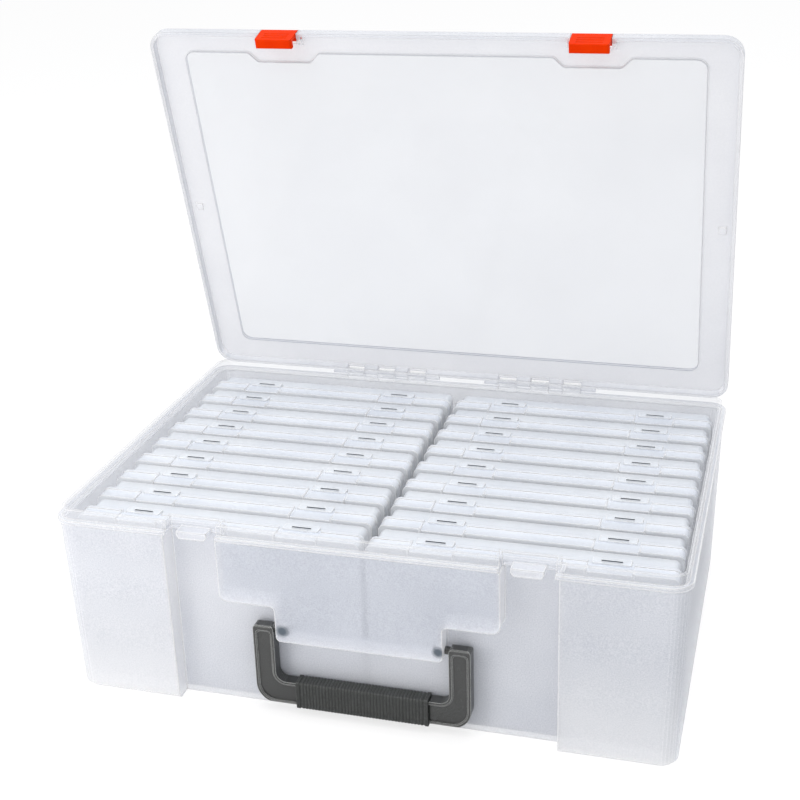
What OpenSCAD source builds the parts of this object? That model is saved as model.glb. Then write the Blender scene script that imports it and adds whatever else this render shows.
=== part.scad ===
// Photo keeper case: a carrying case with a hinged lid, full of slim photo keepers that stand on edge.
// X runs to the right, Y to the back and Z up. The origin is the middle of the case's underside.
// The case is sized around its keepers, and the lid is drawn shut and then swung open about its hinge.

/* [Keepers] */
// Width of one keeper
keeper_w = 180; // [170:1:200]
// Thickness of one keeper, front to back
keeper_d = 25.4; // [23:0.1:30]
// Height of one keeper as it stands
keeper_h = 112.4; // [106:0.2:126]
// Depth of a keeper's cover, out of its thickness
cover_d = 11.3; // [9:0.1:13]
// Air between one keeper and the next behind it
row_gap = 1.2; // [0.8:0.1:2.5]
// Air between the two columns of keepers
column_gap = 4; // [2:0.5:10]
// Wall of a keeper's cover and tray
keeper_t = 1.4; // [1:0.1:2]
// How far a keeper's tray lies inside the outline of its cover
tray_inset = 2; // [1:0.1:2.5]
// Corner radius of a keeper
keeper_r = 4; // [2:0.5:6]
// Distance between the two snap catches of a keeper
snap_pitch = 102; // [80:1:120]
// Width of a snap catch
snap_w = 22; // [16:1:28]

/* [Case] */
// Thickness of the case's walls
wall_t = 2; // [1.6:0.1:2.6]
// Thickness of the case's floor
floor_t = 2.4; // [1.8:0.1:4]
// Height from the keepers' tops to the rim
headroom = 9.7; // [7:0.1:16]
// Air between the keepers and the side of the rim
side_gap = 3; // [2.5:0.5:10]
// Air between the last row of keepers and the rim
back_gap = 5.5; // [5:0.1:14]
// Air between the first row of keepers and the recessed front wall
front_gap = 0.8; // [0.5:0.1:4]
// How far the walls lean in from the ledge to the floor
draft = 2.6; // [2:0.1:4.5]
// Corner radius of the rim, seen from above
rim_r = 12; // [9:0.5:20]
// Rounding between the walls and the underside
base_round = 2; // [1:0.5:4]

/* [Rim] */
// Height of the upright rim above the ledge
bead_h = 6; // [5.5:0.1:10]
// Thickness of the upright rim
bead_t = 2; // [1.6:0.1:2.6]
// Width of the ledge outside the upright rim
ledge_w = 3; // [3:0.1:5]
// Thickness of the ledge
ledge_t = 2.5; // [2:0.1:4]
// How far the ledge stands out from the wall below it
lip = 1.2; // [0.8:0.1:2]

/* [Front] */
// Depth of the recess in the front wall
recess_d = 14.5; // [13.5:0.1:18]
// Width of the front feet, from the side of the case
foot_w = 72; // [60:1:72]
// Width of the upper raised block
block_w = 170; // [150:1:170]
// Height of the upper raised block, below the ledge
block_h = 41; // [30:0.5:44]
// Width of the lower raised block
tongue_w = 102; // [90:1:112]
// Height of the lower raised block
tongue_h = 23.5; // [16:0.5:25]

/* [Handle] */
// Width of the handle's arms
arm_w = 13; // [10:0.5:14]
// Thickness of the handle, front to back
arm_t = 8; // [7:0.5:10.5]
// Height of the handle's lower bar
bar_h = 16; // [12:0.5:17]
// Air between the handle and the surface that the case stands on
handle_lift = 5.6; // [4:0.1:10]
// Air between a handle arm and the raised block beside it
arm_gap = 2.8; // [1:0.1:3]
// Height of the handle's pivot above the foot of the lower block
pivot_up = 4.7; // [4.6:0.1:9]
// Radius of the handle's pivot pins
pivot_r = 2.4; // [2:0.1:2.5]
// How far a pivot pin reaches into the block
pin_reach = 7; // [5:0.5:9]
// Outer corner radius of the handle
handle_r = 12.5; // [8:0.5:13]
// Length of the grip sleeve
grip_w = 82; // [60:1:88]
// How far the grip sleeve stands out around the bar
grip_over = 1.9; // [1.6:0.1:3]
// Distance from one rib of the grip to the next
rib_pitch = 2; // [1.6:0.1:4]

/* [Lid] */
// How far the lid has been opened from shut, in degrees
lid_open = 74; // [60:1:80]
// Thickness of the lid
lid_t = 2; // [1.6:0.1:2.6]
// Thickness of the lid's skirt
skirt_t = 2.2; // [1.8:0.1:2.2]
// Air between the shut lid and the rim below it
lid_gap = 0.3; // [0.2:0.05:0.6]
// Air between the bottom of the skirt and the ledge
skirt_gap = 0.8; // [0.7:0.05:1.2]
// Width of the frosted border around the clear panel, at the sides
border_side = 21; // [16:0.5:26]
// Width of the frosted border at the front
border_front = 15.5; // [14:0.5:26]
// Width of the frosted border at the hinge
border_back = 18.5; // [16:0.5:30]
// How far the clear panel is sunk
panel_drop = 1.2; // [0.6:0.1:2]
// Thickness of the clear panel
panel_t = 1.8; // [1.4:0.1:2.4]

/* [Hinge] */
// Distance from the middle to the inner end of each hinge
hinge_in = 17; // [10:1:30]
// Length of each hinge
hinge_w = 81; // [60:1:90]
// Radius of the lid's hinge rods
rod_r = 1.4; // [1.2:0.05:1.5]
// Clearance between a pin or rod and its bore
pin_fit = 0.05; // [0.02:0.01:0.1]
// Distance of the hinge's axis behind the rim
hinge_back = 1.5; // [1.4:0.1:2]
// Height of the hinge's axis above the ledge
hinge_up = 2.2; // [2.2:0.05:2.4]
// Length of each of the case's three clips along a hinge
clip_w = 13; // [10:0.5:15]

/* [Latches] */
// Distance between the two latches
latch_pitch = 200; // [196:1:204]
// Width of a latch
latch_w = 24.5; // [22:0.5:25]
// Thickness of a latch's plate
latch_t = 2; // [1.6:0.1:2.2]
// Depth of a latch's hook, front to back
hook_d = 6.1; // [4:0.1:7]
// Height of a latch's hook
hook_h = 3.7; // [2.5:0.1:5]
// Radius of a latch's pivot pins
latch_pin_r = 1.4; // [1:0.1:1.5]
// Width of the catch under the rim that a latch hooks onto
catch_w = 19; // [14:0.5:20]
// Air between a shut latch and its catch
latch_gap = 0.4; // [0.3:0.05:0.6]

/* [Hidden] */
$fn = 64;
rows = 9;
soft_fn = 32;     // circles inside blended shapes
slice = 0.1;      // thin slices that the blended shapes run between
reach = 400;      // longer than anything that it cuts
row_pitch = keeper_d + row_gap;
column_x = (keeper_w + column_gap) / 2;

// Heights
keeper_top = floor_t + keeper_h;
rim_z = keeper_top + headroom;
ledge_top = rim_z - bead_h;
ledge_z = ledge_top - ledge_t;
block_z = ledge_z - block_h;
tongue_z = block_z - tongue_h;
pivot_z = tongue_z + pivot_up;
lid_under = rim_z + lid_gap;
lid_top = lid_under + lid_t;
skirt_z = ledge_top + skirt_gap;

// Half sizes and places, from the middle of the case outwards
case_x = column_gap / 2 + keeper_w + side_gap + bead_t + ledge_w;
rows_d = rows * row_pitch - row_gap;
case_y = (recess_d + wall_t + front_gap + rows_d + back_gap + bead_t + ledge_w) / 2;
front_y = -case_y;
recess_y = front_y + recess_d;
first_row_y = recess_y + wall_t + front_gap;
bead_x = case_x - ledge_w;
bead_y = case_y - ledge_w;
bead_r = rim_r - ledge_w;
foot_x = case_x - foot_w;
latch_x = latch_pitch / 2;
hinge_y = case_y + hinge_back;
hinge_z = ledge_top + hinge_up;

// Latch and its pocket in the lid and the rim
ear_gap = 0.35;
ear_t = 2.6;
ear_d = 9.4;
pocket_w = latch_w + 2 * ear_gap;
pocket_out_w = pocket_w + 2 * ear_t;
latch_y = front_y + 3.4;
latch_z = lid_top - 4.9;
barrel_r = 2.6;
top_sweep = 5.5;
rim_step = 7.5;
rim_step_w = pocket_out_w + 1.2;
catch_y = front_y + latch_t + latch_gap;
catch_t = 2;
catch_down = 2.4;
hook_top = ledge_z - catch_down - latch_gap;

// Handle
arm_in = tongue_w / 2 + arm_gap;
arm_out = arm_in + arm_w;
arm_back_y = recess_y - 1;
arm_front_y = arm_back_y - arm_t;
pivot_y = arm_back_y - arm_t / 2;
arm_top = pivot_z + pivot_r + 0.6;
boss_r = 4.2;
boss_d = 2.5;

function unit(v) = v / norm(v);
function flat(p) = [p[0], p[1]];
// An outline with rounded corners, from points that are each [across, up, corner radius]
function rounded(pts, steps = 5) = [
    for (i = [0 : len(pts) - 1])
        let (
            n = len(pts),
            p = flat(pts[i]),
            back = unit(flat(pts[(i + n - 1) % n]) - p),
            on = unit(flat(pts[(i + 1) % n]) - p),
            half = acos(back * on) / 2,
            r = pts[i][2],
            centre = p + unit(back + on) * r / sin(half),
            start = p + back * r / tan(half) - centre,
            end = p + on * r / tan(half) - centre,
            a = atan2(start[1], start[0]),
            turn = (atan2(end[1], end[0]) - a + 540) % 360 - 180
        )
        each r == 0
            ? [p]
            : [for (k = [0 : steps]) centre + r * [cos(a + turn * k / steps), sin(a + turn * k / steps)]]
];
// The same outline again, mirrored left to right, to close a shape that is drawn as its right half
function both_halves(right) = concat(
    right,
    [for (i = [len(right) - 1 : -1 : 0]) [-right[i][0], right[i][1], right[i][2]]]
);

module rounded_plate(w, d, r, h, fn = $fn) {
    linear_extrude(h) {
        square([w - 2 * r, d], center = true);
        square([w, d - 2 * r], center = true);
        for (x = [-1, 1], y = [-1, 1])
            translate([x * (w / 2 - r), y * (d / 2 - r)]) circle(r, $fn = fn);
    }
}

// A shape drawn as seen from the front, run back from y0 to y1
module front_prism(outline, y0, y1) {
    translate([0, y1, 0]) rotate([90, 0, 0]) linear_extrude(y1 - y0) polygon(outline);
}

// A shape drawn as seen from the right, run across from x0 to x1
module side_prism(outline, x0, x1) {
    translate([x0, 0, 0]) rotate([90, 0, 90]) linear_extrude(x1 - x0) polygon(outline);
}

module rod(r, x0, x1) {
    translate([x0, 0, 0]) rotate([0, 90, 0]) cylinder(r = r, h = x1 - x0);
}

module box(x0, x1, y0, y1, z0, z1) {
    translate([x0, y0, z0]) cube([x1 - x0, y1 - y0, z1 - z0]);
}

module both_sides() {
    children();
    mirror([1, 0, 0]) children();
}

// Case body

module wall_blend(inset, z0, round) {
    // The drafted outside of the walls, or their inside when inset by the wall
    top_w = 2 * (case_x - lip - inset);
    top_d = 2 * (case_y - lip - inset);
    r = rim_r - lip - inset;
    low_w = top_w - 2 * draft;
    low_d = top_d - 2 * draft;
    hull() {
        translate([0, 0, z0])
            rounded_plate(low_w - 2 * round, low_d - 2 * round, r - round, slice, soft_fn);
        translate([0, 0, z0 + round]) rounded_plate(low_w, low_d, r, slice, soft_fn);
        translate([0, 0, ledge_z - slice]) rounded_plate(top_w, top_d, r, slice, soft_fn);
    }
}

// The recess in the front wall around the raised block, grown by a wall for the inside
function recess_outline(grow, top) = rounded(both_halves([
    [foot_x + grow, -5, 0],
    [foot_x + grow, top, 0],
    [block_w / 2 - grow, top, 0],
    [block_w / 2 - grow, block_z + grow, 5 - grow],
    [tongue_w / 2 - grow, block_z + grow, 3 + grow],
    [tongue_w / 2 - grow, tongue_z + grow, 3 - grow]
]));

module rim_shape(w, d, r, step, step_w, h) {
    // The upright rim steps back behind each latch
    difference() {
        rounded_plate(w, d, r, h);
        both_sides()
            translate([latch_x - step_w / 2, -d / 2 - reach + step, -1]) cube([step_w, reach, h + 2]);
    }
}

module case_shell() {
    difference() {
        union() {
            wall_blend(0, 0, base_round);
            translate([0, 0, ledge_z - slice])
                rounded_plate(2 * case_x, 2 * case_y, rim_r, ledge_t + slice);
            translate([0, 0, ledge_top])
                rim_shape(2 * bead_x, 2 * bead_y, bead_r, rim_step, rim_step_w, bead_h);
        }
        front_prism(recess_outline(0, ledge_z), front_y - recess_d, recess_y);
        difference() {
            union() {
                wall_blend(wall_t, floor_t, 1);
                translate([0, 0, ledge_z - 2 * slice])
                    rim_shape(
                        2 * (bead_x - bead_t), 2 * (bead_y - bead_t), bead_r - bead_t,
                        rim_step, rim_step_w + 2 * bead_t, reach
                    );
            }
            front_prism(recess_outline(wall_t, ledge_top), front_y - recess_d, recess_y + wall_t);
        }
        both_sides() ledge_cuts();
    }
}

// Where the ledge makes room for a latch: a shallow cut in front and a slot on each side of the catch
module ledge_cuts() {
    half = rim_step_w / 2;
    z0 = ledge_z - 1;
    z1 = ledge_top;
    box(latch_x - half, latch_x + half, front_y - 5, catch_y, z0, z1 + 1);
    for (s = [-1, 1]) {
        a = latch_x + s * catch_w / 2;
        b = latch_x + s * half;
        box(min(a, b), max(a, b), front_y - 5, front_y + ledge_w + rim_step, z0, z1);
    }
}

// The catch that a latch hooks under: a small plate hung from the ledge, narrower at its foot
module latch_catch() {
    foot = ledge_z - catch_down;
    outline = rounded([
        [latch_x - catch_w / 2, ledge_top, 1],
        [latch_x - catch_w / 2, ledge_z, 0],
        [latch_x - catch_w / 2 + 1.5, foot, 1],
        [latch_x + catch_w / 2 - 1.5, foot, 1],
        [latch_x + catch_w / 2, ledge_z, 0],
        [latch_x + catch_w / 2, ledge_top, 1]
    ]);
    front_prism(outline, catch_y, catch_y + catch_t);
}

clip_r = rod_r + pin_fit + 1.4;
finger_r = rod_r + 0.75;
finger_w = (hinge_w - 3 * clip_w) / 4;
clip_step = clip_w + finger_w;
finger_gap = 0.3;

module on_hinge_axis() {
    translate([0, hinge_y, hinge_z]) children();
}

// One clip of the hinge: an open ring on a web that grows out of the ledge
module hinge_clip(x0) {
    on_hinge_axis() difference() {
        union() {
            rod(clip_r, x0, x0 + clip_w);
            box(x0, x0 + clip_w, -hinge_back - 2, clip_r, ledge_z - hinge_z, 0);
        }
        rod(rod_r + pin_fit, x0 - 1, x0 + clip_w + 1);
        box(x0 - 1, x0 + clip_w + 1, -0.8 * rod_r, 0.8 * rod_r, 0, clip_r + 1);
    }
}

module case_body() {
    color([0.90, 0.92, 0.95]) difference() {
        union() {
            case_shell();
            both_sides() {
                latch_catch();
                for (i = [0 : 2]) hinge_clip(hinge_in + finger_w + i * clip_step);
                translate([0, pivot_y, pivot_z])
                    rod(boss_r, tongue_w / 2 - wall_t - boss_d, tongue_w / 2 - 0.75 * wall_t);
            }
        }
        both_sides() translate([0, pivot_y, pivot_z])
            rod(pivot_r + pin_fit, tongue_w / 2 - wall_t - boss_d - 1, tongue_w / 2 + 1);
    }
}

// Lid, drawn shut

module swung_open() {
    translate([0, hinge_y, hinge_z]) rotate([-lid_open, 0, 0]) translate([0, -hinge_y, -hinge_z])
        children();
}

// The clear panel's outline, with a notch behind each latch
notch_top_w = 48;
notch_w = 36;
notch_d = 6.3;
panel_r = 6.5;
function panel_outline() =
    let (
        x = case_x - border_side,
        front = -case_y + border_front,
        back = case_y - border_back
    )
    rounded(both_halves([
        [x, back, panel_r],
        [x, front, panel_r],
        [latch_x + notch_top_w / 2, front, 3],
        [latch_x + notch_w / 2, front + notch_d, 4],
        [latch_x - notch_w / 2, front + notch_d, 4],
        [latch_x - notch_top_w / 2, front, 3]
    ]));

module lid_tray() {
    difference() {
        hull() {
            translate([0, 0, skirt_z]) rounded_plate(2 * case_x, 2 * case_y, rim_r, slice, soft_fn);
            translate([0, 0, lid_top - 1.5])
                rounded_plate(2 * case_x, 2 * case_y, rim_r, slice, soft_fn);
            translate([0, 0, lid_top - slice])
                rounded_plate(2 * case_x - 2.4, 2 * case_y - 2.4, rim_r - 1.2, slice, soft_fn);
        }
        translate([0, 0, skirt_z - 1])
            rounded_plate(
                2 * (case_x - skirt_t), 2 * (case_y - skirt_t), rim_r - skirt_t,
                lid_under - skirt_z + 1
            );
        translate([0, 0, lid_top - panel_drop]) linear_extrude(10) polygon(panel_outline());
    }
    translate([0, 0, lid_top - panel_drop - panel_t]) linear_extrude(panel_t) polygon(panel_outline());
}

// The pocket that a latch turns in
module latch_pocket() {
    box(
        latch_x - pocket_w / 2, latch_x + pocket_w / 2, front_y - 5, latch_y + top_sweep,
        skirt_z - 5, lid_top + 5
    );
}

// The two side walls of a latch's pocket, which carry its pins
module latch_ears() {
    outline = rounded([
        [front_y, lid_under + 0.5, 0],
        [front_y, skirt_z, 1],
        [front_y + ear_d, skirt_z, 5],
        [front_y + ear_d, lid_under + 0.5, 0]
    ]);
    for (s = [-1, 1]) {
        x = latch_x + s * (pocket_w + ear_t) / 2;
        side_prism(outline, x - ear_t / 2, x + ear_t / 2);
    }
}

module latch_pin_bore(r, extra) {
    translate([0, latch_y, latch_z])
        rod(r, latch_x - pocket_out_w / 2 - extra, latch_x + pocket_out_w / 2 + extra);
}

// The rod that the case's clips hold, and the fingers that carry it
module hinge_rod() {
    on_hinge_axis() {
        rod(rod_r, hinge_in, hinge_in + hinge_w);
        for (i = [0 : 3]) {
            x0 = hinge_in + i * clip_step + (i > 0 ? finger_gap : 0);
            x1 = hinge_in + i * clip_step + finger_w - (i < 3 ? finger_gap : 0);
            rod(finger_r, x0, x1);
            box(x0, x1, -hinge_back - 1, rod_r, 0, 5);
        }
    }
}

// Room around the case's clips, cut out of the skirt
module clip_room(x0) {
    room = clip_r + 0.7;
    on_hinge_axis() box(x0 - 0.3, x0 + clip_w + 0.3, -hinge_back - skirt_t - 1, 10, -10, room);
}

// Small square pads halfway along the lid's border, on its underside
pad_w = 5;
pad_t = 1;
pad_x = case_x - 8.5;

module lid() {
    color([0.95, 0.96, 0.98]) swung_open() difference() {
        union() {
            difference() {
                lid_tray();
                both_sides() {
                    latch_pocket();
                    for (i = [0 : 2]) clip_room(hinge_in + finger_w + i * clip_step);
                }
            }
            both_sides() {
                latch_ears();
                hinge_rod();
                box(
                    pad_x - pad_w / 2, pad_x + pad_w / 2, -pad_w / 2, pad_w / 2,
                    lid_under - pad_t, lid_under + lid_t / 4
                );
            }
        }
        both_sides() latch_pin_bore(latch_pin_r + pin_fit, 0.5);
    }
}

// Latches, drawn shut

module latch() {
    top = lid_top - 0.3;
    side = rounded([
        [front_y, top, 1.5],
        [front_y, hook_top - hook_h, 1],
        [front_y + hook_d, hook_top - hook_h, 1.2],
        [front_y + hook_d, hook_top, 0.5],
        [front_y + latch_t, hook_top, 0.4],
        [front_y + latch_t, latch_z - barrel_r, 0.4],
        [latch_y, latch_z - barrel_r, 0],
        [latch_y + 1.6, latch_z, 0],
        [latch_y + 1.6, top, 2]
    ]);
    face = rounded([
        [latch_x - latch_w / 2, top + 1, 1],
        [latch_x - latch_w / 2, hook_top - hook_h, 2],
        [latch_x + latch_w / 2, hook_top - hook_h, 2],
        [latch_x + latch_w / 2, top + 1, 1]
    ]);
    difference() {
        union() {
            intersection() {
                side_prism(side, latch_x - latch_w / 2, latch_x + latch_w / 2);
                front_prism(face, front_y - 1, front_y + 10);
            }
            translate([0, latch_y, latch_z]) rod(barrel_r, latch_x - latch_w / 2, latch_x + latch_w / 2);
            latch_pin_bore(latch_pin_r, -0.3);
        }
        // Three shallow finger lines across the plate
        for (i = [0 : 2])
            translate([0, front_y - 0.45, latch_z - 3 - 3 * i])
                rod(0.8, latch_x - latch_w / 2 + 4, latch_x + latch_w / 2 - 4);
    }
}

module latch_left() {
    color([1.0, 0.24, 0.02]) swung_open() mirror([1, 0, 0]) latch();
}

module latch_right() {
    color([1.0, 0.24, 0.02]) swung_open() latch();
}

// Handle

function handle_outline(inset, top_inset) = let (
    top = arm_top - top_inset,
    low = handle_lift + inset,
    x1 = arm_out - inset,
    x0 = arm_in + inset,
    bar_top = handle_lift + bar_h - inset
) rounded(both_halves([
    [x0, bar_top, 6 + inset],
    [x0, top, 2.5],
    [x1, top, 2.5],
    [x1, low, handle_r - inset]
]), 8);

// The handle seen from the right: its arms are round about the pivot, so they turn clear of the wall
function handle_side() = rounded([
    [arm_front_y, handle_lift, 2],
    [arm_front_y, arm_top, 1.2],
    [arm_back_y, arm_top, 2.2],
    [arm_back_y, handle_lift, 2]
]);

module handle() {
    color([0.20, 0.21, 0.20]) {
        difference() {
            intersection() {
                front_prism(handle_outline(0, 0), arm_front_y, arm_back_y);
                side_prism(handle_side(), -reach, reach);
            }
            // The sunk face inside a raised border, and a shallower step around it
            front_prism(handle_outline(2.4, 4), arm_front_y - 1, arm_front_y + 1.2);
            front_prism(handle_outline(1.6, 3.2), arm_front_y - 1, arm_front_y + 0.4);
        }
        both_sides() translate([0, pivot_y, pivot_z])
            rod(pivot_r, tongue_w / 2 - pin_reach, arm_in + 1);
    }
}

module handle_grip() {
    // A ribbed sleeve around the bar: an eight-sided core with closely spaced ribs
    y0 = arm_front_y - grip_over;
    y1 = arm_back_y + 0.4;
    z0 = handle_lift - grip_over / 2;
    z1 = handle_lift + bar_h + grip_over;
    function grip_outline(inset) = rounded([
        [y0 + inset, z0 + inset, 2],
        [y0 + inset, z1 - inset, 1],
        [y1 - inset, z1 - inset, 1.5],
        [y1 - inset, z0 + inset, 1.5]
    ], 3);
    ribs = floor((grip_w - 6) / rib_pitch);
    color([0.17, 0.18, 0.17]) difference() {
        union() {
            side_prism(grip_outline(0.35), -grip_w / 2, grip_w / 2);
            for (s = [-1, 1]) side_prism(grip_outline(0), s * (grip_w / 2 - 1) - 1, s * (grip_w / 2 - 1) + 1);
            for (i = [0 : ribs - 1]) {
                x = (i - (ribs - 1) / 2) * rib_pitch;
                side_prism(grip_outline(0.1), x - rib_pitch / 4, x + rib_pitch / 4);
            }
        }
        box(-reach, reach, arm_front_y, arm_back_y, handle_lift, handle_lift + bar_h);
    }
}

// Keepers: each is a shallow cover in front of a tray, held shut by two snap catches on top

tray_w = keeper_w - 2 * tray_inset;
tray_top = keeper_h - tray_inset;
rim_proud = 0.4;
snap_t = 1;
snap_over = 1.9;
snap_root = 4.6;
notch_half = snap_w / 2 + 2.2;
notch_down = snap_t + 0.1;
notch_floor = 0.8;

module keeper_place(column, row) {
    translate([column * column_x, first_row_y + row * row_pitch, floor_t]) children();
}

module at_snaps() {
    for (s = [-1, 1]) translate([s * snap_pitch / 2, 0, keeper_h]) children();
}

// A slab of the keeper's outline, standing on its long edge, from y0 to y1
module keeper_slab(w, top, r, low, y0, y1) {
    translate([0, y1, (top + low) / 2]) rotate([90, 0, 0]) rounded_plate(w, top - low, r, y1 - y0);
}

module keeper_cover(column, row) {
    color([0.88, 0.91, 0.95]) keeper_place(column, row) {
        difference() {
            union() {
                difference() {
                    union() {
                        keeper_slab(keeper_w, keeper_h, keeper_r, 0, 0, cover_d);
                        // The raised rim around the cover's open edge
                        keeper_slab(
                            keeper_w + 2 * rim_proud, keeper_h + rim_proud, keeper_r + rim_proud, 0,
                            cover_d - 2.2, cover_d
                        );
                    }
                    keeper_slab(
                        keeper_w - 2 * keeper_t, keeper_h - keeper_t, keeper_r - keeper_t, keeper_t,
                        keeper_t, cover_d + 1
                    );
                }
                at_snaps() snap_floor();
            }
            at_snaps() box(-notch_half, notch_half, -1, cover_d + 1, -notch_down, 5);
        }
        at_snaps() snap_ribs();
    }
}

// The wall under the notch that a snap catch lies in
module snap_floor() {
    half = notch_half + keeper_t;
    box(-half, half, keeper_t / 2, cover_d, -notch_down - notch_floor, -keeper_t / 2);
}

// A rib on each side of that notch, over the cover's front edge
module snap_ribs() {
    for (s = [-1, 1]) {
        box(s * notch_half - 0.5, s * notch_half + 0.5, -0.5, 3.5, -keeper_t / 2, 0.3);
        box(s * notch_half - 0.5, s * notch_half + 0.5, -0.5, keeper_t / 2, -3.3, 0.3);
    }
}

// A snap catch: a thin flap on the tray that reaches forward over the cover, with a slot across it
module keeper_snap() {
    slot_w = snap_w / 2 + 1;
    difference() {
        union() {
            box(-snap_w / 2, snap_w / 2, cover_d - snap_over, cover_d + snap_root, 0.1 - snap_t, 0.1);
            box(
                -snap_w / 2, snap_w / 2, cover_d + snap_root - 1.6, cover_d + snap_root,
                -tray_inset - 0.5, -snap_t / 2
            );
        }
        box(-slot_w / 2, slot_w / 2, cover_d + 0.4, cover_d + 1.8, -snap_t - 0.3, 1);
    }
}

module keeper_tray(column, row) {
    lip_t = 1;
    lip_gap = 0.2;
    lip_in = max(keeper_t + lip_gap, tray_inset, notch_down + notch_floor + 0.1);
    color([0.84, 0.88, 0.93]) keeper_place(column, row) {
        difference() {
            union() {
                keeper_slab(tray_w, tray_top, keeper_r, 0, cover_d, keeper_d);
                // The lip that the cover slides over
                keeper_slab(
                    keeper_w - 2 * lip_in, keeper_h - lip_in, keeper_r - keeper_t, lip_in,
                    cover_d - 3, cover_d + keeper_t
                );
            }
            keeper_slab(
                keeper_w - 2 * lip_in - 2 * lip_t, keeper_h - lip_in - lip_t, keeper_r - keeper_t - 0.4,
                lip_in + lip_t, cover_d - 4, keeper_d - keeper_t
            );
        }
        at_snaps() keeper_snap();
    }
}

columns = [["left", -1], ["right", 1]];

case_body();
lid();
latch_left();
latch_right();
handle();
handle_grip();
for (c = columns, i = [1 : rows]) {
    keeper_cover(c[1], i - 1);
    keeper_tray(c[1], i - 1);
}
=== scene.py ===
# Photo keeper case: looks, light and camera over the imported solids.
# Metres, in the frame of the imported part: X right, Y back, Z up, origin under the middle of the case.
import bpy, math
import numpy as np
from mathutils import Matrix, Vector

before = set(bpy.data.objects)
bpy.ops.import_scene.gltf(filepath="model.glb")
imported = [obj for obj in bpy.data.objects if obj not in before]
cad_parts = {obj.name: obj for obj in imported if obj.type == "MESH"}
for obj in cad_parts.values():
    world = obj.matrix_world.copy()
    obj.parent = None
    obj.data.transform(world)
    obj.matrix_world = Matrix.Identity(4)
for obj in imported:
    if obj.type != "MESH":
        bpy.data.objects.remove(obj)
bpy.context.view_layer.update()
print("stage: frame loaded,", len(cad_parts), "nodes")


# Camera, in the place that the photograph was taken from

cameraValues = {
    "place": (0.2290, -0.8070, 0.5040),
    "turnLeft": 16.38,        # degrees, from looking straight back
    "lookDown": 22.37,
    "roll": -1.70,
    "lens": 64.0,             # mm, on a square frame of the next size
    "sensor": 36,
    "clip": (0.05, 50),       # nearest and farthest distance seen
}


def addCamera(v):
    data = bpy.data.cameras.new("studioCamera")
    data.lens = v["lens"]
    data.sensor_fit = "HORIZONTAL"
    data.sensor_width = v["sensor"]
    data.clip_start, data.clip_end = v["clip"]
    camera = bpy.data.objects.new("studioCamera", data)
    turn = (Matrix.Rotation(math.radians(v["turnLeft"]), 4, "Z")
            @ Matrix.Rotation(math.radians(90 - v["lookDown"]), 4, "X")
            @ Matrix.Rotation(math.radians(v["roll"]), 4, "Z"))
    camera.matrix_world = Matrix.Translation(v["place"]) @ turn
    bpy.context.scene.collection.objects.link(camera)
    bpy.context.scene.camera = camera


addCamera(cameraValues)
print("stage: camera placed")


# Small helpers for nodes

def hexToLinear(hexColour):
    # sRGB hex to linear light: c / 12.92 below 0.04045, else ((c + 0.055) / 1.055) ^ 2.4
    c = np.array([int(hexColour[i:i + 2], 16) for i in (1, 3, 5)]) / 255
    c = np.where(c <= 0.04045, c / 12.92, ((c + 0.055) / 1.055) ** 2.4)
    return (float(c[0]), float(c[1]), float(c[2]), 1.0)


def addNode(tree, kind, settings=None, values=None, links=None):
    # One node: its settings, its socket values, and links from other nodes' outputs to its inputs
    node = tree.nodes.new(kind)
    for name, value in (settings or {}).items():
        setattr(node, name, value)
    for socket, value in (values or {}).items():
        node.inputs[socket].default_value = value
    for socket, output in (links or {}).items():
        tree.links.new(output, node.inputs[socket])
    return node


def newTree(owner):
    # The emptied node tree of a material or a world
    owner.use_nodes = True
    owner.node_tree.nodes.clear()
    return owner.node_tree


def blend(tree, fac, low, high):
    # From one colour to another by a factor; each is a hex colour or the output of a node
    values, links = {}, {"Factor": fac}
    for socket, colour in (("A", low), ("B", high)):
        if isinstance(colour, str):
            values[socket] = hexToLinear(colour)
        else:
            links[socket] = colour
    return addNode(tree, "ShaderNodeMix", {"data_type": "RGBA"}, values, links).outputs["Result"]


def rescale(tree, value, fromEnds, toEnds=(0.0, 1.0), kind="LINEAR"):
    # Takes one range of a factor to another, and stops at its ends
    ends = {"From Min": fromEnds[0], "From Max": fromEnds[1], "To Min": toEnds[0], "To Max": toEnds[1]}
    return addNode(tree, "ShaderNodeMapRange", {"interpolation_type": kind}, ends,
                   {"Value": value}).outputs["Result"]


def combine(tree, operation, first, second):
    # Two factors taken together; the second can be a plain number
    if isinstance(second, float):
        values, links = {1: second}, {0: first}
    else:
        values, links = {}, {0: first, 1: second}
    return addNode(tree, "ShaderNodeMath", {"operation": operation}, values, links).outputs["Value"]


# Moulded plastics

plasticValues = {
    "bevelSamples": 4, "edgeEnds": (0.999, 0.96),    # cosines of the lean at which an edge starts and is full
    "grainDetail": 2.0, "grainRoughness": 0.6,
    "cloudDetail": 2.0, "speckDetail": 1.0, "noiseEnds": (0.3, 0.7),    # where nearly all of the noise lies
    "openSamples": 4, "openEnds": (0.55, 0.95),      # how open a full crease is, and a face without one
    "spotCore": 0.45,                                # the share of a spot's reach that has its full colour
}


def mouldGrain(tree, place, normal, v):
    # Bump of a spark-eroded mould: fine noise whose period is grainMm
    noise = addNode(tree, "ShaderNodeTexNoise",
                    values={"Scale": 1000 / v["grainMm"], "Detail": plasticValues["grainDetail"],
                            "Roughness": plasticValues["grainRoughness"]}, links={"Vector": place})
    bump = addNode(tree, "ShaderNodeBump", values={"Strength": v["grain"], "Distance": v["grainDepthMm"] / 1000},
                   links={"Height": noise.outputs["Fac"], "Normal": normal})
    return bump.outputs["Normal"]


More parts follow.
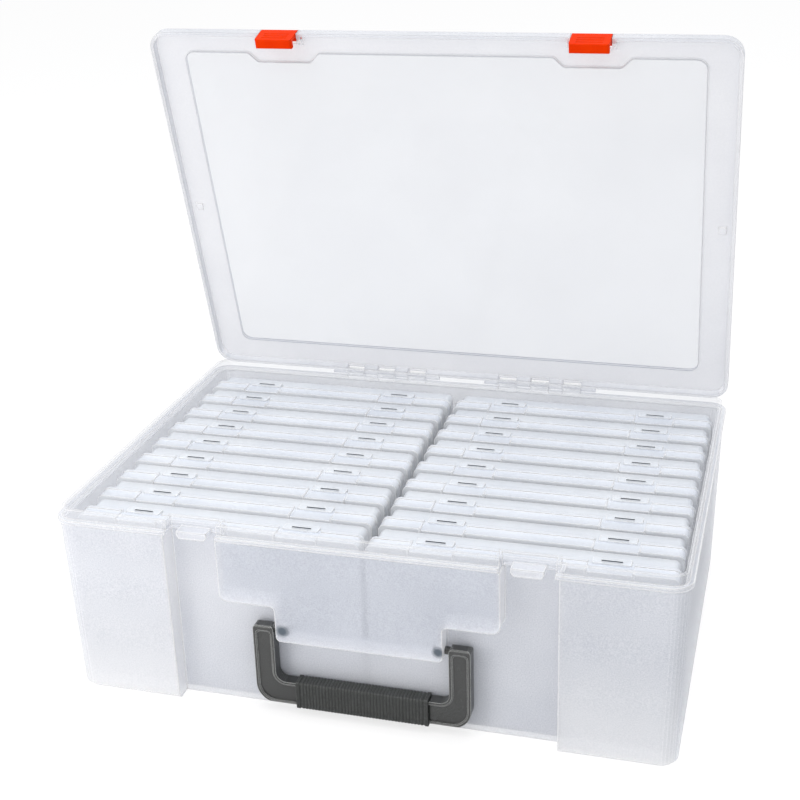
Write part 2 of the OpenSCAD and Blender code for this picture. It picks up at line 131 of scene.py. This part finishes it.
def edges(tree, radiusMm):
    # The normal with every edge rounded off, and a factor that is 0 on flat walls and 1 on edges
    bevel = addNode(tree, "ShaderNodeBevel", {"samples": plasticValues["bevelSamples"]},
                    {"Radius": radiusMm / 1000})
    wall = addNode(tree, "ShaderNodeNewGeometry")
    lean = addNode(tree, "ShaderNodeVectorMath", {"operation": "DOT_PRODUCT"},
                   links={0: bevel.outputs["Normal"], 1: wall.outputs["Normal"]})
    return bevel.outputs["Normal"], rescale(tree, lean.outputs["Value"], plasticValues["edgeEnds"])


def mottle(tree, place, v):
    # Slow clouds in the melt and the fine speckle of the tool's grain; speck is the speckle's share
    cloud = addNode(tree, "ShaderNodeTexNoise",
                    values={"Scale": 1000 / v["cloudMm"], "Detail": plasticValues["cloudDetail"]},
                    links={"Vector": place})
    speck = addNode(tree, "ShaderNodeTexNoise",
                    values={"Scale": 1000 / v["speckMm"], "Detail": plasticValues["speckDetail"]},
                    links={"Vector": place})
    both = addNode(tree, "ShaderNodeMix", {"data_type": "FLOAT"}, {"Factor": v["speck"]},
                   {"A": cloud.outputs["Fac"], "B": speck.outputs["Fac"]})
    return rescale(tree, both.outputs["Result"], plasticValues["noiseEnds"])


def newPlastic(name, v):
    # What both kinds share: a clouded tone, a painted edge tone that is a painted highlight where it is lighter and
    # painted shade where it is darker, and the tool's grain
    material = bpy.data.materials.new(name)
    tree = newTree(material)
    place = addNode(tree, "ShaderNodeTexCoord").outputs["Object"]
    soft, onEdge = edges(tree, v["edgeMm"])
    tone = blend(tree, onEdge, blend(tree, mottle(tree, place, v), v["shade"], v["light"]), v["edge"])
    shader = addNode(tree, "ShaderNodeBsdfPrincipled", values={"Roughness": v["roughness"], "IOR": v["ior"]},
                     links={"Normal": mouldGrain(tree, place, soft, v)})
    addNode(tree, "ShaderNodeOutputMaterial", links={"Surface": shader.outputs["BSDF"]})
    return material, tree, shader, place, onEdge, tone


def seeThroughPlastic(name, v):
    # Polypropylene: a milky body colour with slow clouds; its edges take a painted highlight and are less
    # see-through
    material, tree, shader, place, onEdge, tone = newPlastic(name, v)
    if "low" in v:
        # Painted light from the floor, low down: the tone fades towards another colour as z falls to 0
        height = addNode(tree, "ShaderNodeSeparateXYZ", links={"Vector": place}).outputs["Z"]
        tone = blend(tree, rescale(tree, height, (v["lowTop"], 0.0), (0.0, v["lowShare"])), tone, v["low"])
    body = rescale(tree, onEdge, (0.0, 1.0), (v["alpha"], v["edgeAlpha"]))
    for centre, reach, colour in v.get("paintedShadeSpots", []):
        # A soft dark spot of painted shade where something dark lies close behind a milky wall, which is also made
        # less see-through there
        away = addNode(tree, "ShaderNodeVectorMath", {"operation": "DISTANCE"}, {1: centre}, {0: place})
        near = rescale(tree, away.outputs["Value"], (reach * plasticValues["spotCore"], reach), (1.0, 0.0),
                       "SMOOTHSTEP")
        tone = blend(tree, near, tone, colour)
        body = combine(tree, "MAXIMUM", body, near)
    # Milky plastic passes on most of the light that it takes in, so lamps are stopped less than sight is
    ray = addNode(tree, "ShaderNodeLightPath")
    stop = rescale(tree, ray.outputs["Is Shadow Ray"], (0.0, 1.0), (1.0, v["lampShare"]))
    shader.inputs["Alpha"].default_value = v["alpha"]
    tree.links.new(combine(tree, "MULTIPLY", body, stop), shader.inputs["Alpha"])
    tree.links.new(tone, shader.inputs["Base Color"])
    return material


def opaquePlastic(name, v):
    # Plastic moulded in colour: a painted edge tone, and painted shade that darkens its creases where it has any
    material, tree, shader, place, onEdge, tone = newPlastic(name, v)
    if "paintedCreaseShade" in v:
        # How open the surface is within the crease's reach, from 0 in a sharp corner to 1 on a flat face; painted
        # shade darkens the tone towards the crease colour where it is closed in
        openness = addNode(tree, "ShaderNodeAmbientOcclusion",
                           {"samples": plasticValues["openSamples"], "only_local": True},
                           {"Distance": v["paintedCreaseShadeMm"] / 1000})
        tone = blend(tree, rescale(tree, openness.outputs["AO"], plasticValues["openEnds"]), v["paintedCreaseShade"], tone)
    shader.inputs["Specular IOR Level"].default_value = v["shine"]
    tree.links.new(tone, shader.inputs["Base Color"])
    return material


# Helpers that tell a node's faces apart and dress them

def faceCentres(mesh):
    # The middle of each face, as one array
    centres = np.zeros(len(mesh.polygons) * 3)
    mesh.polygons.foreach_get("center", centres)
    return centres.reshape(-1, 3)


def faceNormals(mesh):
    # The way each face looks, as one array of unit vectors
    normals = np.zeros(len(mesh.polygons) * 3)
    mesh.polygons.foreach_get("normal", normals)
    return normals.reshape(-1, 3)


def between(values, low, high):
    return (values > low) & (values < high)


def dress(nodeName, materials, which=None):
    # The node's slots, and which slot each face takes
    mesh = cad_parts[nodeName].data
    mesh.materials.clear()
    for material in materials:
        mesh.materials.append(material)
    if which is not None:
        mesh.polygons.foreach_set("material_index", which.astype(np.int32))


# Case: polypropylene, injection moulded in a textured tool, so satin, milky and see-through

# Its white edge tone is a painted highlight, and its edges are less see-through
caseFinish = {
    "shade": "#CDD1DB", "light": "#F4F6FB", "edge": "#FFFFFF", "alpha": 0.5, "edgeAlpha": 0.95, "lampShare": 0.2,
    "roughness": 0.4, "ior": 1.49, "grainMm": 0.9, "grainDepthMm": 0.04, "grain": 0.3,
    "cloudMm": 60, "speckMm": 0.75, "speck": 0.7, "edgeMm": 1.4,
}
# The rim above the ledge: polished, so nearly clear; its white edge tone is a painted highlight
rimFinish = {
    "shade": "#E6E9F0", "light": "#F0F2F7", "edge": "#FFFFFF", "alpha": 0.22, "edgeAlpha": 0.8, "lampShare": 0.2,
    "roughness": 0.2, "ior": 1.49, "grainMm": 1.2, "grainDepthMm": 0.02, "grain": 0.2,
    "cloudMm": 40, "speckMm": 1.5, "speck": 0.3, "edgeMm": 1.0,
}
# The raised block behind the handle: a greyer copy of the case whose grey is painted shade, with painted shade spots
# where the handle's pins lie close behind it
blockPaintedShadeFinish = dict(caseFinish, shade="#BEC3CF", light="#E3E7F0", paintedShadeSpots=[
    # centre, reach, colour
    ((-0.0468, -0.1325, 0.0590), 0.0058, "#525D68"),
    ((0.0484, -0.1325, 0.0582), 0.0054, "#525D68"),
])
# The short walls between the steps of the front are seen end on; their lighter colour is painted light
stepPaintedLightFinish = dict(caseFinish, shade="#F0F1F6", light="#FFFFFF", alpha=0.72, lampShare=0.1)
# The fronts of the feet, whiter towards the floor: painted light from the floor
footPaintedLightFinish = dict(caseFinish, low="#FFFFFF", lowTop=0.075, lowShare=0.55)

casePlaces = {
    "blockY": -0.1190, "stepY": -0.1195, "footY": -0.1200,    # each stands in front of the recessed face
    "blockHalfX": 0.0852, "stepHalfX": 0.1195, "footFromX": 0.1165,
    "stepFromZ": 0.0040, "blockFromZ": 0.0505,    # above the lower edge, and from the tongue up
    "frontTopZ": 0.1158, "rimFromZ": 0.1187,      # just under the ledge, and just above it
    "forward": 0.6,                               # a face looks forwards where its normal's Y is larger
}


def caseFaces(mesh, v):
    # The slot of each face: 0 case, 1 rim, 2 block, 3 step, 4 foot
    centres = faceCentres(mesh)
    across, y, z = np.abs(centres[:, 0]), centres[:, 1], centres[:, 2]
    forward = np.abs(faceNormals(mesh)[:, 1]) > v["forward"]
    onRim = z > v["rimFromZ"]
    onBlock = (across < v["blockHalfX"]) & (y < v["blockY"]) & between(z, v["blockFromZ"], v["frontTopZ"])
    onStep = (~forward & (across < v["stepHalfX"]) & (y < v["stepY"])
              & between(z, v["stepFromZ"], v["frontTopZ"]))
    onFoot = forward & (across > v["footFromX"]) & (y < v["footY"]) & (z < v["frontTopZ"])
    return np.select([onStep, onFoot, onRim, onBlock], [3, 4, 1, 2])


caseMaterial = seeThroughPlastic("frostedPolypropylene", caseFinish)
rimMaterial = seeThroughPlastic("polishedPolypropyleneRim", rimFinish)
blockPaintedShadeMaterial = seeThroughPlastic("frostedPolypropyleneBlockPaintedShade", blockPaintedShadeFinish)
stepPaintedLightMaterial = seeThroughPlastic("frostedPolypropyleneStepPaintedLight", stepPaintedLightFinish)
footPaintedLightMaterial = seeThroughPlastic("frostedPolypropyleneFootPaintedLight", footPaintedLightFinish)
dress("case_body", [caseMaterial, rimMaterial, blockPaintedShadeMaterial, stepPaintedLightMaterial, footPaintedLightMaterial],
      caseFaces(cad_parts["case_body"].data, casePlaces))
print("stage: case dressed")


# Keepers: semi-clear polypropylene in thin walls, polished, a little blue

# Their white edge tone is a painted highlight
coverFinish = {
    "shade": "#E0E5EE", "light": "#EDF1F8", "edge": "#FFFFFF", "alpha": 0.62, "edgeAlpha": 0.97, "lampShare": 0.0,
    "roughness": 0.22, "ior": 1.49, "grainMm": 1.5, "grainDepthMm": 0.03, "grain": 0.2,
    "cloudMm": 35, "speckMm": 1.2, "speck": 0.4, "edgeMm": 0.9,
}
# The trays: a lighter copy of the cover's colour, painted light against the shade that the covers cast on them
trayPaintedLightFinish = dict(coverFinish, shade="#E4E9F1", light="#F0F4F9")
# Their upright walls, seen at a slant: a lighter copy of the cover, painted light
wallPaintedLightFinish = dict(coverFinish, shade="#F0F3F8", light="#F8FAFD", alpha=0.56)
# The slots in the snap flaps: their cut walls see no light, so they are painted dark as painted shade and read as
# short dark lines
slotPaintedShadeFinish = {
    "shade": "#6A7079", "light": "#7C828B", "edge": "#8A9099", "roughness": 0.6, "ior": 1.49, "shine": 0.2,
    "grainMm": 1.0, "grainDepthMm": 0.01, "grain": 0.1, "cloudMm": 10, "speckMm": 1.0, "speck": 0.3, "edgeMm": 0.1,
}

keeperPlaces = {
    "firstY": -0.1157, "pitch": 0.0266,           # front of the first keeper, and from each to the next
    "slotFront": 0.0116, "slotBack": 0.0132,      # a slot's box, from its keeper's front
    "slotLow": 0.1138, "slotHigh": 0.1148, "slotHalfX": 0.0061,
    "snapX": 0.051, "columnX": 0.092,             # a snap from its keeper's middle, and that from x = 0
    "upright": 0.5,                               # a wall is upright where its normal's Z is smaller
}


def uprightFaces(mesh, v):
    return np.abs(faceNormals(mesh)[:, 2]) < v["upright"]


def slotFaces(mesh, v):
    # The small walls cut through the flaps: inside the slot's box, below the flap's top face
    centres = faceCentres(mesh)
    x = np.abs(np.abs(np.abs(centres[:, 0]) - v["columnX"]) - v["snapX"])
    y = (centres[:, 1] - v["firstY"]) % v["pitch"]
    return ((x < v["slotHalfX"]) & between(y, v["slotFront"], v["slotBack"])
            & between(centres[:, 2], v["slotLow"], v["slotHigh"]))


coverMaterial = seeThroughPlastic("clearPolypropyleneCover", coverFinish)
wallPaintedLightMaterial = seeThroughPlastic("clearPolypropyleneWallPaintedLight", wallPaintedLightFinish)
trayPaintedLightMaterial = seeThroughPlastic("clearPolypropyleneTrayPaintedLight", trayPaintedLightFinish)
slotPaintedShadeMaterial = opaquePlastic("slotPaintedShade", slotPaintedShadeFinish)
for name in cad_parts:
    if name.startswith("keeper"):
        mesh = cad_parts[name].data
        upright = uprightFaces(mesh, keeperPlaces)
        if name.startswith("keeper_cover"):
            dress(name, [coverMaterial, wallPaintedLightMaterial], upright)
        else:
            dress(name, [trayPaintedLightMaterial, wallPaintedLightMaterial, slotPaintedShadeMaterial],
                  np.select([slotFaces(mesh, keeperPlaces), upright], [2, 1]))
print("stage: keepers dressed")


# Lid: one moulding, frosted on its border and polished clear inside it

# Its white edge tone is a painted highlight
borderFinish = {
    "shade": "#E5E6EC", "light": "#EFF0F4", "edge": "#FFFFFF", "alpha": 0.5, "edgeAlpha": 0.8, "lampShare": 0.2,
    "roughness": 0.35, "ior": 1.49, "grainMm": 1.0, "grainDepthMm": 0.05, "grain": 0.4,
    "cloudMm": 45, "speckMm": 1.0, "speck": 0.5, "edgeMm": 1.0,
}
# The panel's darker edge tone is painted shade
panelFinish = {
    "shade": "#D8DBE3", "light": "#E2E5EC", "edge": "#C8CCD6", "alpha": 0.3, "edgeAlpha": 0.5, "lampShare": 0.2,
    "roughness": 0.08, "ior": 1.49, "grainMm": 8, "grainDepthMm": 0.03, "grain": 0.15,
    "cloudMm": 70, "speckMm": 2.0, "speck": 0.2, "edgeMm": 0.9,
}
# The step around the panel: a drafted wall of one or two millimetres that turns sight aside; its dark grey is
# painted shade, so it reads as a line
groovePaintedShadeFinish = dict(borderFinish, shade="#989DA7", light="#A6ABB4", edge="#ACB0B9", alpha=0.7, edgeAlpha=0.7)
# The skirt: frosted and seen through its full depth; its greyer colour is painted shade
skirtPaintedShadeFinish = dict(borderFinish, shade="#C4C8D0", light="#DFE1E7", edge="#CACDD5", alpha=0.6, edgeAlpha=0.8)

lidPlaces = {
    "hingeY": 0.1345, "hingeZ": 0.1207, "open": 74.0,    # its axis, and how far it stands open, in degrees
    # The rest is where things lie when the lid is shut
    "panelUnder": 0.1238, "panelTop": 0.1256, "panelHalfX": 0.1691, "panelFront": -0.1176, "panelBack": 0.1146,
    "panelSlack": 0.0002, "grooveWidth": 0.0006,
    "skirtX": 0.1865, "skirtY": 0.1285,
    "grooveLean": 0.75, "skirtLean": 0.5,                # the largest Z of their faces' normals
}


def shutVectors(vectors, v):
    # Turns directions on the open lid back to where they point when it is shut
    turn = math.radians(v["open"])
    y, z = vectors[:, 1], vectors[:, 2]
    return np.stack([vectors[:, 0], y * math.cos(turn) - z * math.sin(turn),
                     y * math.sin(turn) + z * math.cos(turn)], axis=1)


def lidFaces(mesh, v):
    # The slot of each face: 0 border, 1 panel, 2 groove, 3 skirt
    hinge = np.array([0.0, v["hingeY"], v["hingeZ"]])
    shut = hinge + shutVectors(faceCentres(mesh) - hinge, v)
    lean = np.abs(shutVectors(faceNormals(mesh), v)[:, 2])
    across, y, z = np.abs(shut[:, 0]), shut[:, 1], shut[:, 2]
    onPanel = ((across < v["panelHalfX"]) & between(y, v["panelFront"], v["panelBack"])
               & ((np.abs(z - v["panelUnder"]) < v["panelSlack"]) | (np.abs(z - v["panelTop"]) < v["panelSlack"])))
    width = v["grooveWidth"]
    onGroove = ((lean < v["grooveLean"]) & (across < v["panelHalfX"] + width)
                & between(y, v["panelFront"] - width, v["panelBack"] + width))
    onSkirt = ((lean < v["skirtLean"]) & (z < v["panelTop"])
               & ((across > v["skirtX"]) | (np.abs(y) > v["skirtY"])))
    return np.select([onPanel, onGroove, onSkirt], [1, 2, 3])


borderMaterial = seeThroughPlastic("frostedPolypropyleneBorder", borderFinish)
skirtPaintedShadeMaterial = seeThroughPlastic("frostedPolypropyleneSkirtPaintedShade", skirtPaintedShadeFinish)
groovePaintedShadeMaterial = seeThroughPlastic("frostedPolypropyleneGroovePaintedShade", groovePaintedShadeFinish)
panelMaterial = seeThroughPlastic("polishedPolypropylenePanel", panelFinish)
dress("lid", [borderMaterial, panelMaterial, groovePaintedShadeMaterial, skirtPaintedShadeMaterial],
      lidFaces(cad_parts["lid"].data, lidPlaces))
print("stage: lid dressed")


# Latches: ABS, moulded in colour in a polished tool, so a clean gloss

# The latches' darker edge tone is painted shade along their edges
latchFinish = {
    "shade": "#E63000", "light": "#F03A00", "edge": "#C8380E", "roughness": 0.3, "ior": 1.54, "shine": 0.02,
    "grainMm": 1.5, "grainDepthMm": 0.02, "grain": 0.2, "cloudMm": 12, "speckMm": 0.8, "speck": 0.3, "edgeMm": 0.5,
}
latchMaterial = opaquePlastic("glossAbs", latchFinish)
dress("latch_left", [latchMaterial])
dress("latch_right", [latchMaterial])


# Handle: glass-filled polypropylene, charcoal, satin; its grip is a softer, duller skin

# The handle's and the grip's light edge tones are painted highlights
handleFinish = {
    "shade": "#0C0E0C", "light": "#323432", "edge": "#B4B6B4", "roughness": 0.22, "ior": 1.49, "shine": 0.9,
    "grainMm": 1.2, "grainDepthMm": 0.04, "grain": 0.25, "cloudMm": 25, "speckMm": 0.8, "speck": 0.75, "edgeMm": 0.6,
    # Painted shade: the tone darkens to this colour in the handle's creases
    "paintedCreaseShade": "#060706", "paintedCreaseShadeMm": 2.2,
}
gripFinish = dict(handleFinish, shade="#242625", light="#484A49", edge="#5C5E5D", paintedCreaseShade="#242625",
                  roughness=0.5, grainMm=0.8, shine=0.3)
handleMaterial = opaquePlastic("satinPolypropylene", handleFinish)
gripMaterial = opaquePlastic("softGripRubber", gripFinish)
dress("handle", [handleMaterial])
dress("handle_grip", [gripMaterial])
print("stage: latches and handle dressed")


# Studio: white floor and backdrop, soft light from all round with a little more from above and the left

studio = {
    "floorSize": 40.0, "floorColour": "#F6F6F7", "floorLift": 0.65, "floorGlow": 1.12,
    "worldStrength": 0.75,
    "lamps": [
        # name, place, aims at, size in metres, watts, colour
        ("keyLamp", (-0.45, -0.55, 0.18), (-0.10, -0.13, 0.04), 0.3, 0.8, "#FFFAF4"),
        ("glintLamp", (-0.46, -0.76, 1.00), (-0.05, -0.14, 0.05), 0.25, 1.2, "#FFFFFF"),
        ("topLamp", (0.1, 0.0, 2.2), (0, 0, 0.1), 1.4, 18, "#FFFFFF"),
    ],
}


def addFloor(v):
    s = v["floorSize"] / 2
    mesh = bpy.data.meshes.new("floor")
    mesh.from_pydata([(-s, -s, 0), (s, -s, 0), (s, s, 0), (-s, s, 0)], [], [(0, 1, 2, 3)])
    floor = bpy.data.objects.new("floor", mesh)
    bpy.context.scene.collection.objects.link(floor)
    material = bpy.data.materials.new("paleFloor")
    tree = newTree(material)
    # What the camera sees is mixed towards white, so that the shadow under the object stays faint
    path = addNode(tree, "ShaderNodeLightPath")
    seen = combine(tree, "MAXIMUM", path.outputs["Is Camera Ray"], path.outputs["Is Transmission Ray"])
    paint = addNode(tree, "ShaderNodeBsdfDiffuse", values={"Color": hexToLinear(v["floorColour"])})
    glow = addNode(tree, "ShaderNodeEmission", values={"Color": hexToLinear("#FFFFFF"), "Strength": v["floorGlow"]})
    both = addNode(tree, "ShaderNodeMixShader", links={0: combine(tree, "MULTIPLY", seen, v["floorLift"]),
                                                       1: paint.outputs[0], 2: glow.outputs[0]})
    addNode(tree, "ShaderNodeOutputMaterial", links={"Surface": both.outputs[0]})
    mesh.materials.append(material)


def addWorld(v):
    # Full white where it is seen, mirrored or seen through something, and dimmer as a light
    world = bpy.data.worlds.new("studioWorld")
    tree = newTree(world)
    path = addNode(tree, "ShaderNodeLightPath")
    seen = combine(tree, "MAXIMUM", path.outputs["Is Camera Ray"], path.outputs["Is Glossy Ray"])
    seen = combine(tree, "MAXIMUM", seen, path.outputs["Is Transmission Ray"])
    back = addNode(tree, "ShaderNodeBackground", values={"Color": hexToLinear("#FFFFFF")},
                   links={"Strength": rescale(tree, seen, (0.0, 1.0), (v["worldStrength"], 1.0))})
    addNode(tree, "ShaderNodeOutputWorld", links={"Surface": back.outputs[0]})
    bpy.context.scene.world = world


def addLamp(name, place, target, size, watts, colour):
    data = bpy.data.lights.new(name, "AREA")
    data.shape = "SQUARE"
    data.size = size
    data.energy = watts
    data.color = hexToLinear(colour)[:3]
    lamp = bpy.data.objects.new(name, data)
    aim = (Vector(target) - Vector(place)).to_track_quat("-Z", "Y").to_matrix().to_4x4()
    lamp.matrix_world = Matrix.Translation(place) @ aim
    bpy.context.scene.collection.objects.link(lamp)


addFloor(studio)
addWorld(studio)
for lampValues in studio["lamps"]:
    addLamp(*lampValues)
bpy.context.scene.view_settings.view_transform = "Standard"
print("stage: studio lit")
